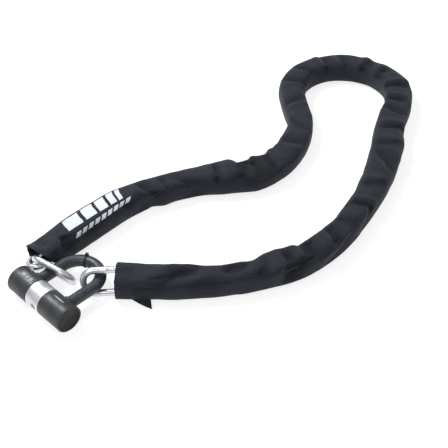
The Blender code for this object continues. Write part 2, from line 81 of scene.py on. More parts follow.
# Camera: place in metres, turn up from straight down, lens and sensor.
CAMERA_PLACE = (-0.0182, -1.0426, 0.850)
CAMERA_TILT = 48
CAMERA_LENS = 72.32
CAMERA_SENSOR = 36

# Studio: floor in metres, sky from the horizon up, and lights as place, size and power.
FLOOR_GLOW = 0.78
FLOOR_REACH = 6
FLOOR_DROP = 0.0004
SKY_STRENGTH = 0.6
HORIZON_COLOUR = (0.50, 0.51, 0.53, 1)
SKY_COLOUR = (1, 1, 1, 1)
SKY_FROM = 0.55
KEY_LIGHT = ((-0.9, 0.5, 1.5), 0.5, 34)
FRONT_LIGHT = ((-0.9, -1.3, 1.2), 0.5, 5)

# Surfaces with a mottle: its darker and lighter colour.
CLOTH_COLOURS = ((0.0035, 0.0042, 0.0068), (0.0220, 0.0260, 0.0350))
INK_COLOURS = ((0.48, 0.52, 0.56), (0.62, 0.66, 0.70))
BAND_COLOURS = ((0.58, 0.59, 0.61), (0.76, 0.77, 0.79))
THREAD_PITCH = 1.1

# Moulded surfaces: darker and lighter colour, roughness, and the grain's scale and height.
COAT = ((0.022, 0.024, 0.027), (0.040, 0.043, 0.047), 0.42, 1500, 0.12)
VINYL = ((0.018, 0.023, 0.029), (0.048, 0.057, 0.068), 0.38, 700, 0.18)
BLACK_PLASTIC = ((0.006, 0.006, 0.007), (0.012, 0.012, 0.013), 0.6, 1500, 0.08)
RUBBER = ((0.012, 0.012, 0.012), (0.025, 0.025, 0.025), 0.7, 1200, 0.1)
THREAD = ((0.030, 0.032, 0.038), (0.055, 0.06, 0.07), 0.7, 3000, 0.05)
PALE_MARK = ((0.20, 0.21, 0.225), (0.32, 0.33, 0.345), 0.5, 900, 0.05)

# Bare metals: colour and roughness, which for the zinc is its shiniest and its dullest.
ZINC = ((0.68, 0.695, 0.73), 0.26, 0.40)
HARD_STEEL = ((0.42, 0.42, 0.44), 0.35)
BRASS = ((0.70, 0.55, 0.28), 0.35)

# Lock body, in its own frame: X along the body, Y towards the crown, Z up.
BODY_RADIUS = 18.5
BODY_END = 52
COVER_BORE = 15.85
COVER_FILLET = 0.9
BAND_FROM = -13.8
BAND_TO = 10.3
BAND_FILLET = 0.35
SEAM = 0.35
COLLAR_RADIUS = 10
COLLAR_BORE = 8.35
COLLAR_FROM = 13
COLLAR_TO = 18.95
LEG_HOLE = (6, 24)
CAP_RADIUS = 15.5
CAP_FROM = 49.35
CAP_TO = 51.75
CAP_STEP = 0.25
PLUG_RADIUS = 4.8
PLUG_BORE = 5.15
PLUG_FACE = -17.9
PLUG_FOOT = -13
PLUG_HOLE = (-24, -10)
KEYWAY_ANGLE = -36
KEYWAY_HALF = (3.2, 2.1)

# Shackle, in the same frame.
LEG_OFFSET = 30
LEG_TOP = 54
ROD_RADIUS = 6.2
ROD_FOOT = -9.8
ROD_CHAMFER = 0.8
NOTCH_RADIUS = 4.5
NOTCH_FROM = 15
NOTCH_TO = 28.4
COATING_RADIUS = 8
COATING_BORE = 6.55
COATING_FOOT = 17.4
PIPE_SIDES = 48

# Cable tie round the coating: its place round the crown, half width and thickness, and its head.
TIE_ANGLE = 118
TIE_HALF = 1.3
TIE_GAP = 0.3
TIE_THICKNESS = 0.9
TIE_HEAD_HALF = (2.1, 2.2, 1.3)

# Rings: bar, outside length and inside width of each kind, how much thinner the bar is drawn, and the
# weld's height and half length.
BAR = 10
LINK = (70.8, 16)
END_LINK = (72, 20.5)
BAR_SLIMMED = 0.25
WELD = (0.45, 2.2)

# Sleeve: grid, section and mouths. A lip or a hold is its middle and half width in degrees round the
# section and its length.
STEP = 2.2
AROUND = 112
WALL = 0.9
SQUARENESS = 3
GIRTH = 140
PITCH = 48
FLOOR_HOLD = 9
FLOOR_GAP = 0.3
CHAIN_HEIGHT = 18
CHAIN_CLEARANCE = 0.8
WRAP_SOFTNESS = 1.5
CHAIN_SIDE = 40
RIGHT_MOUTH = 14
LEFT_MOUTH = 3.5
MOUTH_BLEND = 55
RIGHT_LIP = (300, 55, 7)
LEFT_LIP = (205, 50, 9)
LEFT_HOLD = (325, 75, 16)
LEFT_REACH = (-40, 16)
LIP_INWARD = 0.1
END_LINK_ROLL = 8
MOUTH_SWING = 10
BLEND_HALF = 26

# Stitches: how far in from the mouth, their length, pitch and width, and how high they stand.
HEM = 4.5
STITCH = (3.4, 6.4, 0.6)
STITCHED_TURNS = (-40, 220)
STITCH_LIFT = 0.02
STITCH_HEIGHT = 0.3

# Width towards the inside of the loop, width towards the outside and height of the sleeve's section,
# at positions counted in links from the right end link.
SECTIONS = [
    (-0.4, 25.5, 21, 38), (0.5, 24, 20.5, 38), (1.2, 22.5, 20.5, 37), (2, 19.5, 18.5, 37),
    (3, 17, 16.5, 36), (3.5, 16.5, 16.5, 36.5), (3.8, 23, 17.5, 37.5), (4.3, 26.5, 21.5, 38),
    (4.7, 22.5, 22, 37), (5.1, 9.5, 22.5, 35), (5.4, 12.5, 22.5, 35.5), (6.2, 16, 22.5, 36.5),
    (7, 15, 21, 36), (8, 17, 22, 36.5), (9, 18.5, 24, 37), (10, 19.5, 27, 37),
    (11, 20, 30, 37.5), (12.2, 22, 22.5, 37), (14, 20, 24, 37.5), (15.5, 19, 24.5, 37),
    (17, 20, 23.5, 37.5), (18.5, 19, 24.5, 37), (20, 21, 21, 37), (21.4, 22, 17.5, 36.5),
    (22.4, 24, 21, 37), (23.4, 29, 15.5, 36.5), (24, 33, 19.5, 36.5), (24.32, 33, 12.5, 34),
    (24.7, 28, 27, 37.5), (25.3, 24, 26.5, 38), (25.6, 19, 25, 37.5), (26, 14.5, 23, 36.5),
    (26.5, 15.5, 22, 36.5), (27.15, 21.5, 22, 37), (27.55, 11.5, 23.5, 36), (27.85, 13.5, 23.5, 36.5),
    (28.2, 16.5, 25.5, 37), (29.3, 21.5, 25.5, 38), (30.2, 21.5, 25, 38), (31, 20, 22, 37.5),
    (31.6, 21.5, 20.5, 40),
]

# Folds: from and to, each in links and in degrees round the section (0 inside the loop, 90 on top,
# 180 outside), then width and depth. The steep side is on the right when walking from one end to the other.
FOLDS = [
    (0.5, 132, 2.1, 58, 7.5, 6), (0.1, 165, 1.1, 150, 8, 3), (1.5, 160, 2.6, 120, 9.5, 2.5),
    (2.5, 96, 3.4, 62, 6, 4.5), (3.4, 150, 4, 66, 9.5, 3), (4.15, 200, 4.5, 55, 12, 7),
    (4.9, 150, 5.15, 30, 9.5, 6.5), (4.1, 160, 4.95, 112, 7.5, 3.5), (5.75, 155, 6.1, 64, 9, 5.5),
    (5.3, 196, 6.6, 150, 8, 3), (6.9, 190, 7.9, 140, 8, 2.5), (6.6, 66, 6.9, 140, 8, 3.5),
    (7.5, 55, 7.8, 170, 6, 4.5), (8.4, 60, 8.9, 150, 8, 3.5), (9.3, 136, 10.3, 66, 8, 4),
    (10.5, 50, 10.9, 150, 8, 3), (11.5, 50, 11.8, 176, 8, 4.5), (12.3, 136, 12.8, 30, 7.5, 4.5),
    (13.3, 10, 13.2, 130, 7, 5), (14.2, 15, 14, 156, 7.5, 5), (14.9, 15, 15.1, 120, 7, 4),
    (15.8, 10, 15.6, 160, 7.5, 5.5), (16.5, 20, 16.7, 110, 7, 4), (17.4, 10, 17.2, 150, 7.5, 5),
    (18.1, 20, 18.3, 126, 7, 4.5), (19.1, 15, 19, 150, 7.5, 4.5), (20, 40, 20.5, 150, 8, 4),
    (21.1, 140, 21.9, 56, 8, 3.5), (22.4, 36, 22.8, 156, 8, 4), (23.5, 165, 23.75, 15, 7.5, 5.5),
    (24.2, 15, 24.12, 120, 7.5, 4.5), (24.8, 15, 24.45, 130, 13, 6.5), (24.3, 195, 24.42, 95, 9, 7),
    (25.42, 5, 25.38, 128, 6, 5.5), (26.2, 20, 26.8, 112, 9.5, 3), (27, 30, 27.1, 104, 6, 4),
    (27.42, 0, 27.78, 116, 7.5, 6.5), (28.2, 10, 28.8, 46, 8, 2.5), (30.98, 5, 30.72, 86, 10, 6),
    (31.3, 76, 31.5, 150, 8, 2.5), (29.4, 14, 30.3, 30, 8, 2),
]

# Shape of every fold, in widths: steep side, broad side, and the ridge beside the steep side, in steep
# sides and in depths. Then how much painted shade darkens the cloth inside a fold, and the depth painted
# darkest.
STEEP_SIDE = 0.6
BROAD_SIDE = 1.4
RIDGE_PLACE = 2.4
RIDGE_WIDTH = 1.3
RIDGE_HEIGHT = 0.42
FOLD_SHADE = 0.85
DARKEST_FOLD = 4.5

# Wrinkles: size along the sleeve, size round it, shift of the pattern and height.
WRINKLES = ((34, 26, 0, 1.3), (13, 12, 7, 0.5))

# White print: a row of bold blocks and a row of small slanted bars, from and to in links and
# from and to in degrees round the section.
PRINT_LEAN = 0.0035
PRINT_BLOCKS = ((30.46, 29.92), (29.80, 29.40), (29.30, 28.98), (28.88, 28.66), (28.58, 28.44))
PRINT_BLOCK_TURNS = (79, 121)
SMALL_BARS = 9
SMALL_BAR_SHARE = 0.68
SMALL_BAR_LEAN = 0.0056
SMALL_FROM = (30.44, 32, 54)
SMALL_TO = (28.24, 46, 70)
PRINT_LIFT = 0.12
PRINT_THICKNESS = 0.12

# Fabric corner that sticks out under the right mouth: its root along the sleeve, in links and
# degrees, its tip, and how far its root is tucked in.
TAB_ROOT = (0.10, 0.64, 216)
TAB_TIP = (-110, -262, 0.5)
TAB_TUCK = 1
TAB_END = 0.97
TAB_RIPPLE = 1.2

# Marks on the covers, along the body and in degrees round it from the crown side.
LABEL = (-43, -17, 76, 104)
LABEL_LINE = (0.5, 1.6)
LABEL_BARS = ((-40.5, -33), (-31.5, -27), (-25.5, -19.5))
LABEL_BAR_TURNS = (82, 98)
OVAL = (20, 40, 74, 82)
MARK_LIFT = 0.06
MARK_THICKNESS = 0.05

# The sleeve's lengths, each across one hinge: name, joint, and where it ends, in links.
LENGTHS = [
    ("sleeve_length_1", "right_fold_inner", 4, ("sleeve_right_mouth", "sleeve_right_middle")),
    ("sleeve_length_2", "right_fold_outer", 8.5, ("sleeve_right_outer",)),
    ("sleeve_length_3", "right_swing_outer", 16.5, ("sleeve_far",)),
    ("sleeve_length_4", "left_swing_outer", 23.5, ()),
    ("sleeve_length_5", "left_fold_outer", 27, ("sleeve_left_outer", "sleeve_left_middle")),
    ("sleeve_length_6", "left_fold_inner", None, ("sleeve_left_mouth",)),
]


# ---------------- materials

def fill_inputs(node, inputs):
    """Set inputs of a node, each to a value or to another node's output."""
    for name, value in inputs.items():
        if isinstance(value, bpy.types.NodeSocket):
            node.id_data.links.new(value, node.inputs[name])
        else:
            node.inputs[name].default_value = value


def add_node(tree, kind, inputs, output=0, **settings):
    """Output of a new node."""
    node = tree.nodes.new("ShaderNode" + kind)
    for name, value in settings.items():
        setattr(node, name, value)
    fill_inputs(node, inputs)
    return node.outputs[output]


def new_material(name, colour, metallic, roughness):
    """A material with its node tree and its shader."""
    material = bpy.data.materials.new(name)
    material.use_nodes = True
    shader = material.node_tree.nodes["Principled BSDF"]
    fill_inputs(shader, {"Base Color": (*colour, 1.0), "Metallic": metallic, "Roughness": roughness})
    return material, material.node_tree, shader


def maths(tree, operation, *values):
    return add_node(tree, "Math", dict(enumerate(values)), operation=operation)


def object_place(tree):
    return add_node(tree, "TexCoord", {}, "Object")


def noise_value(tree, place, scale, detail):
    return add_node(tree, "TexNoise", {"Vector": place, "Scale": scale, "Detail": detail}, "Fac")


def ranged(tree, value, low, high):
    """The middle of a 0 to 1 pattern spread over low to high."""
    spread = {"Value": value, "From Min": 0.3, "From Max": 0.7, "To Min": low, "To Max": high}
    return add_node(tree, "MapRange", spread, "Result")


def mixed(tree, factor, first, second):
    """A colour that goes from the first to the second."""
    ends = {"Factor": factor, "A": (*first, 1.0), "B": (*second, 1.0)}
    return add_node(tree, "Mix", ends, "Result", data_type="RGBA")


def bumped(tree, height, strength, distance):
    """A normal raised by a pattern, with its full height in millimetres."""
    raised = {"Height": height, "Strength": strength, "Distance": distance * MM}
    return add_node(tree, "Bump", raised, "Normal")


def nylon():
    """Woven black nylon: a plain weave, a worn mottle, a soft sheen and painted shade inside the folds."""
    material, tree, shader = new_material("woven nylon", (0.03, 0.034, 0.042), 0.0, 0.72)
    flat = add_node(tree, "UVMap", {}, "UV", uv_map="cloth")
    place = add_node(tree, "VectorMath", {0: flat, "Scale": 1 / MM}, "Vector", operation="SCALE")
    threads = []
    for axis in "XY":
        along = add_node(tree, "SeparateXYZ", {"Vector": place}, axis)
        threads.append(maths(tree, "SINE", maths(tree, "MULTIPLY", along, 2 * math.pi / THREAD_PITCH)))
    weave = maths(tree, "MULTIPLY", *threads)
    mottle = noise_value(tree, place, 0.11, 5.0)
    grain = noise_value(tree, place, 1.6, 2.0)
    # Painted shade: the fold attribute darkens the cloth's colour inside the folds.
    unshaded_share = maths(tree, "SUBTRACT", 1.0, add_node(tree, "Attribute", {}, "Fac", attribute_name="fold"))
    blotch = maths(tree, "ADD", maths(tree, "MULTIPLY", mottle, 0.65), maths(tree, "MULTIPLY", grain, 0.35))
    tone = maths(tree, "MULTIPLY", ranged(tree, blotch, 0.38, 1.0), unshaded_share)
    height = maths(tree, "ADD", weave, maths(tree, "MULTIPLY", grain, 1.2))
    fill_inputs(shader, {
        "Base Color": mixed(tree, tone, *CLOTH_COLOURS), "Roughness": ranged(tree, mottle, 0.62, 0.82),
        "Normal": bumped(tree, height, 0.55, 0.22), "Specular IOR Level": 0.15,
        "Sheen Weight": 0.10, "Sheen Roughness": 0.45, "Sheen Tint": (0.75, 0.82, 0.95, 1.0),
    })
    return material


def print_ink():
    """White print, slightly worn where the weave stands proud."""
    material, tree, shader = new_material("white print", (0.60, 0.64, 0.68), 0.0, 0.55)
    wear = noise_value(tree, object_place(tree), 900.0, 2.0)
    fill_inputs(shader, {
        "Base Color": mixed(tree, ranged(tree, wear, 0.0, 1.0), *INK_COLOURS),
        "Normal": bumped(tree, wear, 0.3, 0.1),
    })
    return material


def plated(name, colour, rough_low, rough_high):
    """Plated steel with a cloudy shine and fine pits."""
    material, tree, shader = new_material(name, colour, 1.0, rough_low)
    place = object_place(tree)
    cloud = noise_value(tree, place, 90.0, 4.0)
    darker = tuple(0.82 * c for c in colour)
    fill_inputs(shader, {
        "Base Color": mixed(tree, ranged(tree, cloud, 0.0, 1.0), darker, colour),
        "Roughness": ranged(tree, cloud, rough_high, rough_low),
        "Normal": bumped(tree, noise_value(tree, place, 1400.0, 2.0), 0.25, 0.05),
    })
    return material


def brushed_band(body):
    """Steel brushed round the lock body."""
    material, tree, shader = new_material("brushed steel", (0.78, 0.79, 0.81), 1.0, 0.3)
    body_turn = math.atan2(body.col[0].y, body.col[0].x)
    turned_place = add_node(tree, "Mapping", {"Vector": object_place(tree), "Rotation": (0, 0, -body_turn)})
    lines = add_node(tree, "Mapping", {"Vector": turned_place, "Scale": (2600, 60, 60)})
    brush = noise_value(tree, lines, 1.0, 2.0)
    fill_inputs(shader, {
        "Base Color": mixed(tree, ranged(tree, brush, 0.0, 1.0), *BAND_COLOURS),
        "Roughness": ranged(tree, brush, 0.42, 0.58),
        "Normal": bumped(tree, brush, 0.35, 0.05), "Anisotropic": 0.5,
    })
    return material


def moulded(name, dark, light, roughness, grain_scale, grain_height):
    """Moulded or coated surface with a fine grain and a slight mottle."""
    material, tree, shader = new_material(name, light, 0.0, roughness)
    place = object_place(tree)
    mottle = noise_value(tree, place, 110.0, 5.0)
    fill_inputs(shader, {
        "Base Color": mixed(tree, ranged(tree, mottle, 0.0, 1.0), dark, light),
        "Roughness": ranged(tree, mottle, roughness + 0.08, roughness - 0.08),
        "Normal": bumped(tree, noise_value(tree, place, grain_scale, 3.0), 0.4, grain_height),
        "Specular IOR Level": 0.3,
    })
    return material


def machined(name, colour, roughness):
    """Machined metal inside the lock."""
    material, tree, shader = new_material(name, colour, 1.0, roughness)
    tone = noise_value(tree, object_place(tree), 300.0, 4.0)
    fill_inputs(shader, {
        "Roughness": ranged(tree, tone, roughness - 0.08, roughness + 0.1),
        "Normal": bumped(tree, tone, 0.2, 0.05),
    })
    return material


def pale_floor():
    """A lit white table, which shows only faint shadows."""
    material, _, shader = new_material("floor", (0.35, 0.35, 0.35), 0.0, 0.9)
    white = (1.0, 1.0, 1.0, 1.0)
    fill_inputs(shader, {"Specular IOR Level": 0.0, "Emission Color": white, "Emission Strength": FLOOR_GLOW})
    return material


# ---------------- mesh helpers

def new_object(name, mesh, material):
    mesh.materials.append(material)
    piece = bpy.data.objects.new(name, mesh)
    bpy.context.scene.collection.objects.link(piece)
    return piece


def mesh_piece(name, points, faces, material, place=None, sharp=40.0):
    """A smooth shaded mesh from points in millimetres, moved by a matrix in millimetres."""
    mesh = bpy.data.meshes.new(name)
    points = [Vector(p) for p in points]
    if place is not None:
        points = [place @ p for p in points]
    mesh.from_pydata([p * MM for p in points], [], faces)
    mesh.validate()
    bm = bmesh.new()
    bm.from_mesh(mesh)
    bmesh.ops.recalc_face_normals(bm, faces=bm.faces)
    bm.to_mesh(mesh)
    bm.free()
    mesh.shade_smooth()
    mesh.set_sharp_from_angle(angle=math.radians(sharp))
    return new_object(name, mesh, material)


def tube_faces(count, sides, loop):
    """Four-sided faces between rings of points; with a loop, the last ring meets the first."""
    faces = []
    for i in range(count if loop else count - 1):
        here, there = i * sides, (i + 1) % count * sides
        for k in range(sides):
            n = (k + 1) % sides
            faces.append((here + k, here + n, there + n, there + k))
    return faces


def lofted(name, rings, loop, material, place=None):
    """A closed solid through matching rings of points."""
    sides, count = len(rings[0]), len(rings)
    faces = tube_faces(count, sides, loop)
    if not loop:
        faces.append(tuple(range(sides)))
        faces.append(tuple(range((count - 1) * sides, count * sides)))
    return mesh_piece(name, [p for ring in rings for p in ring], faces, material, place)


def circle(centre, u, v, radius, sides):
    """Points round a centre, in the plane of two directions."""
    centre, u, v = Vector(centre), Vector(u), Vector(v)
    turns = [2 * math.pi * k / sides for k in range(sides)]
    return [centre + u * (radius * math.cos(t)) + v * (radius * math.sin(t)) for t in turns]


def turned(name, axis, across, profile, loop, material, body, sides=96):
    """A solid of revolution about the body's X, or about its Y at a distance across: profile holds
    (distance along the axis, radius) pairs."""
    along, u, v = {"X": ((1, 0, 0), (0, 1, 0), (0, 0, 1)), "Y": ((0, 1, 0), (0, 0, 1), (1, 0, 0))}[axis]
    centre = Vector((across, 0, 0))
    rings = [circle(centre + Vector(along) * d, u, v, r, sides) for d, r in profile]
    return lofted(name, rings, loop, material, body)


def rounded(start, end, radius, fillet, steps=4):
    """Profile of a cylinder with round edges."""
    turns = [math.pi / 2 * k / steps for k in range(steps + 1)]
    first = [(start + fillet * (1 - math.sin(t)), radius - fillet * (1 - math.cos(t))) for t in turns[::-1]]
    last = [(end - fillet * (1 - math.sin(t)), radius - fillet * (1 - math.cos(t))) for t in turns]
    return first + last


def cut_away(piece, cutters):
    """Cut solids out of a piece for good."""
    for cutter in cutters:
        modifier = piece.modifiers.new("cut", "BOOLEAN")
        modifier.operation = "DIFFERENCE"
        modifier.solver = "EXACT"
        modifier.object = cutter
    graph = bpy.context.evaluated_depsgraph_get()
    mesh = bpy.data.meshes.new_from_object(piece.evaluated_get(graph))
    piece.modifiers.clear()
    piece.data = mesh
    mesh.shade_smooth()
    mesh.set_sharp_from_angle(angle=math.radians(40))
    for cutter in cutters:
        bpy.data.objects.remove(cutter, do_unlink=True)


def finish_piece(piece, body, slot, *nodes):
    """Put a piece on its body and hide the CAD nodes that it replaces; its material slot is not used."""
    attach(piece, body)
    if nodes:
        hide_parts(*nodes)


# ---------------- frame

def joint_named(frame, name):
    return next(joint for joint in frame["joints"] if joint["name"] == name)


def chain_links(frame):
    """Names of the chain's links, from the right end link on."""
    return sorted(name for name in frame["nodes"] if name.startswith("chain_link_"))


def body_frame(frame):
    """Matrix from the lock body's own millimetres to the frame's millimetres."""
    boxes = [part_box(name) for name in ("left_cover", "right_cover")]
    low = Vector(map(min, boxes[0][0], boxes[1][0]))
    high = Vector(map(max, boxes[0][1], boxes[1][1]))
    along = Vector(joint_named(frame, "right_bolt_throw")["axis"])
    across = -Vector(joint_named(frame, "lock_body_slide")["axis"])
    matrix = Matrix((along, across, along.cross(across))).transposed().to_4x4()
    matrix.translation = (low + high) / 2 / MM
    return matrix


def ring_frame(node):
    """Matrix of a ring measured on its solid: X along it, Y across it, Z square to its plane."""
    points = np.array([v.co for v in node.data.vertices], float) / MM
    centre = (points.min(0) + points.max(0)) / 2
    axes = np.linalg.eigh(np.cov((points - centre).T))[1]
    along, across = Vector(axes[:, 2]), Vector(axes[:, 1])
    if across.z < 0:
        across = -across
    matrix = Matrix((along, across, along.cross(across))).transposed().to_4x4()
    matrix.translation = Vector(centre)
    return matrix


# ---------------- lock body

def leg_hole(side, coat, body):
    """Cutter that clears the collar of a leg."""
    profile = [(start, COLLAR_RADIUS + 0.1) for start in LEG_HOLE]
    return turned("cutter", "Y", side * LEG_OFFSET, profile, False, coat, body, 64)


def add_covers(body, coat):
    """Coated covers with a round hole for each leg."""
    spans = (("left_cover", -1, -BODY_END, BAND_FROM - SEAM), ("right_cover", 1, BAND_TO + SEAM, BODY_END))
    for node, side, start, end in spans:
        profile = rounded(start, end, BODY_RADIUS, COVER_FILLET) + [(end, COVER_BORE), (start, COVER_BORE)]
        cover = turned(node + "_skin", "X", 0, profile, True, coat, body)
        cut_away(cover, [leg_hole(side, coat, body)])
        finish_piece(cover, "lock_body", "cover", node)


def add_collars(body, coat):
    """Raised rims round the leg holes."""
    profile = rounded(COLLAR_FROM, COLLAR_TO, COLLAR_RADIUS, 0.7)
    profile += [(COLLAR_TO - 0.35, COLLAR_BORE), (COLLAR_FROM, COLLAR_BORE)]
    for side, word in ((-1, "left"), (1, "right")):
        collar = turned(word + "_leg_collar", "Y", side * LEG_OFFSET, profile, True, coat, body, 64)
        finish_piece(collar, "lock_body", "cap")


def add_caps(body, black):
    """Flat end caps with a shallow step near their rims."""
    for side, word in ((-1, "left"), (1, "right")):
        face = side * CAP_TO
        inner = face - side * CAP_STEP
        profile = [(side * CAP_FROM, CAP_RADIUS), (face - side * 0.3, CAP_RADIUS), (face, CAP_RADIUS - 0.3),
                   (face, CAP_RADIUS - 1.2), (inner, CAP_RADIUS - 1.5), (inner, 0.4)]
        cap = turned(word + "_cap_face", "X", 0, profile, False, black, body)
        finish_piece(cap, "lock_body", "cap", word + "_end_cap")


def add_band(body, steel, plug_x):
    """Bright band with the round opening for the key plug."""
    profile = rounded(BAND_FROM, BAND_TO, BODY_RADIUS, BAND_FILLET)
    profile += [(BAND_TO, COVER_BORE), (BAND_FROM, COVER_BORE)]
    band = turned("bright_band", "X", 0, profile, True, steel, body)
    hole = [(start, PLUG_BORE) for start in PLUG_HOLE]
    cut_away(band, [turned("cutter", "Y", plug_x, hole, False, steel, body, 64)])
    finish_piece(band, "lock_body", "band", "centre_band")


def keyway(start, end, share):
    """Rings of the keyway's box between two distances along the plug, a little smaller by its shares."""
    half_length, half_width = (half * part for half, part in zip(KEYWAY_HALF, share))
    corners = ((-half_length, -half_width), (half_length, -half_width),
               (half_length, half_width), (-half_length, half_width))
    return [[Vector((x, y, z)) for x, z in corners] for y in (start, end)]


def add_plug_face(body, steel, black, plug_x):
    """Turning face of the key cylinder with its slanted keyway, and a black block in the keyway as painted
    shade.
    """
    profile = [(PLUG_FACE, 0.3)] + rounded(PLUG_FACE, PLUG_FOOT, PLUG_RADIUS, 0.4)
    plug = turned("key_plug_face", "Y", plug_x, profile, False, steel, body, 64)
    turn = Matrix.Translation((plug_x, 0, 0)) @ Matrix.Rotation(math.radians(-KEYWAY_ANGLE), 4, "Y")
    slot = keyway(PLUG_FACE - 3, PLUG_FOOT + 1.5, (1, 1))
    cut_away(plug, [lofted("cutter", slot, False, steel, body @ turn)])
    finish_piece(plug, "key_plug", "band", "key_plug")
    # Painted shade: a black block just behind the keyway's opening makes the deep slot read dark.
    inside = keyway(PLUG_FACE + 0.2, PLUG_FOOT + 1.4, (0.99, 0.98))
    finish_piece(lofted("keyway_painted_shade", inside, False, black, body @ turn), "key_plug", "cap")


# ---------------- shackle

def crown_station(turn):
    """Point and heading on the crown at an angle in radians, 0 at the right leg."""
    out = Vector((math.cos(turn), math.sin(turn), 0))
    return Vector((0, LEG_TOP, 0)) + LEG_OFFSET * out, Vector((out.y, -out.x, 0))


def shackle_stations(foot, steps=48):
    """Points and headings from the left foot round the crown to the right foot."""
    crown = [crown_station(math.pi - math.pi * k / steps) for k in range(steps + 1)]
    left = (Vector((-LEG_OFFSET, foot, 0)), Vector((0, 1, 0)))
    right = (Vector((LEG_OFFSET, foot, 0)), Vector((0, -1, 0)))
    return [left] + crown + [right]


def pipe_rings(stations, radius, sides=PIPE_SIDES):
    return [circle(centre, UP.cross(heading), UP, radius, sides) for centre, heading in stations]


def add_shackle(body, steel, vinyl):
    """Steel rod with a notch in each leg, and the moulded coating over it."""
    feet = shackle_stations(ROD_FOOT)
    rings = pipe_rings(feet[:1], ROD_RADIUS - ROD_CHAMFER)
    rings += pipe_rings(shackle_stations(ROD_FOOT + ROD_CHAMFER), ROD_RADIUS)
    rings += pipe_rings(feet[-1:], ROD_RADIUS - ROD_CHAMFER)
    rod = lofted("shackle_steel", rings, False, steel, body)
    notches = []
    for side in (-1, 1):
        profile = [(side * NOTCH_FROM, NOTCH_RADIUS), (side * NOTCH_TO, NOTCH_RADIUS)]
        notches.append(turned("cutter", "X", 0, profile, False, steel, body, 48))
    cut_away(rod, notches)
    finish_piece(rod, "shackle", "steel", "shackle_rod")
    skin = shackle_stations(COATING_FOOT)
    rings = pipe_rings(skin, COATING_RADIUS) + pipe_rings(skin[::-1], COATING_BORE)
    finish_piece(lofted("shackle_skin", rings, True, vinyl, body), "shackle", "vinyl", "shackle_coating")


def add_tie(body, black):
    """Cable tie round the coating, with its head."""
    centre, heading = crown_station(math.radians(TIE_ANGLE))
    inner, half = COATING_RADIUS + TIE_GAP, TIE_HALF
    outer = inner + TIE_THICKNESS
    profile = [(-half, inner), (-half, outer - 0.3), (0.3 - half, outer), (half - 0.3, outer),
               (half, outer - 0.3), (half, inner)]
    rings = [pipe_rings([(centre + heading * d, heading)], r, 64)[0] for d, r in profile]
    finish_piece(lofted("coating_tie_strap", rings, True, black, body), "shackle", "tie", "coating_tie")
    out = UP.cross(heading)
    head_at = centre + (out * 0.35 + UP * 0.94).normalized() * (outer + 0.9)
    head = box_rings(head_at, heading, out, UP, *TIE_HEAD_HALF)
    finish_piece(lofted("coating_tie_head", head, False, black, body), "shackle", "tie")


def box_rings(centre, along, side, up, half_along, half_side, half_up):
    """A small block with broken edges."""
    rings = []
    for d, inset in ((-half_along, 0.4), (0.3 - half_along, 0.0), (half_along - 0.3, 0.0), (half_along, 0.4)):
        w, h = half_side - inset, half_up - inset
        corners = [(w, h - 0.3), (w - 0.3, h), (0.3 - w, h), (-w, h - 0.3),
                   (-w, 0.3 - h), (0.3 - w, -h), (w - 0.3, -h), (w, 0.3 - h)]
        rings.append([centre + along * d + side * x + up * z for x, z in corners])
    return rings


# ---------------- chain

def oval_path(size, crown_steps, straight_steps):
    """Points and outward directions round the middle line of a ring, in its own plane."""
    length, width = size
    crown = (width + BAR) / 2
    straight = length / 2 - BAR / 2 - crown
    path = []
    for end in (1, -1):
        for k in range(crown_steps + 1):
            turn = math.pi * (k / crown_steps - 0.5)
            out = Vector((math.cos(turn), math.sin(turn), 0)) * end
            path.append((Vector((straight * end, 0, 0)) + out * crown, out))
        for k in range(1, straight_steps):
            x = straight * end * (1 - 2 * k / straight_steps)
            path.append((Vector((x, crown * end, 0)), Vector((0, end, 0))))
    return path


def ring_piece(name, size, place, zinc):
    """A forged ring whose bar is a little thicker at its weld."""
    height, half_length = WELD
    rings = []
    for middle, out in oval_path(size, 24, 16):
        on_weld_side = middle.y > 0 and abs(out.y) > 0.99
        weld = height * math.exp(-(middle.x / half_length) ** 2) if on_weld_side else 0.0
        rings.append(circle(middle, out, UP, BAR / 2 - BAR_SLIMMED + weld, 28))
    return lofted(name, rings, True, zinc, place)


def turned_about(joint, degrees):
    """Matrix of a hinge turned by an angle, in millimetres."""
    pivot = Matrix.Translation(Vector(joint["pos_m"]) / MM)
    return pivot @ Matrix.Rotation(math.radians(degrees), 4, Vector(joint["axis"])) @ pivot.inverted()


def ring_points(frame):
    """Points on the middle line of every bar that the sleeve goes round, with room to turn at its mouth."""
    roll, swing = joint_named(frame, "right_end_link_roll"), joint_named(frame, "chain_swing")
    end_link = ring_frame(frame["nodes"]["right_end_link"])
    places = [(turned_about(swing, swung) @ turned_about(roll, rolled) @ end_link, END_LINK)
              for swung in (-MOUTH_SWING, 0.0, MOUTH_SWING) for rolled in (0.0, END_LINK_ROLL)]
    places += [(ring_frame(frame["nodes"][name]), LINK) for name in chain_links(frame)]
    return np.array([place @ middle for place, size in places for middle, _ in oval_path(size, 20, 14)])


def add_rings(frame, zinc):
    """Both end links and every link of the chain."""
    body_of = {node: body for body, nodes in frame["record"]["behaviour"]["bodies"].items() for node in nodes}
    for node in ["right_end_link", "left_end_link"] + chain_links(frame):
        size = LINK if node.startswith("chain_link_") else END_LINK
        ring = ring_piece(node + "_ring", size, ring_frame(frame["nodes"][node]), zinc)
        finish_piece(ring, body_of[node], "zinc", node)


# ---------------- sleeve route

def catmull(points, steps):
    """A smooth curve through points."""
    points = [2 * points[0] - points[1]] + points + [2 * points[-1] - points[-2]]
    curve = []
    for i in range(1, len(points) - 2):
        a, b, c, d = points[i - 1:i + 3]
        for k in range(steps):
            t = k / steps
            curve.append(0.5 * (2 * b + (c - a) * t + (2 * a - 5 * b + 4 * c - d) * t * t
                                + (3 * b - a - 3 * c + d) * t ** 3))
    return curve + [points[-2]]


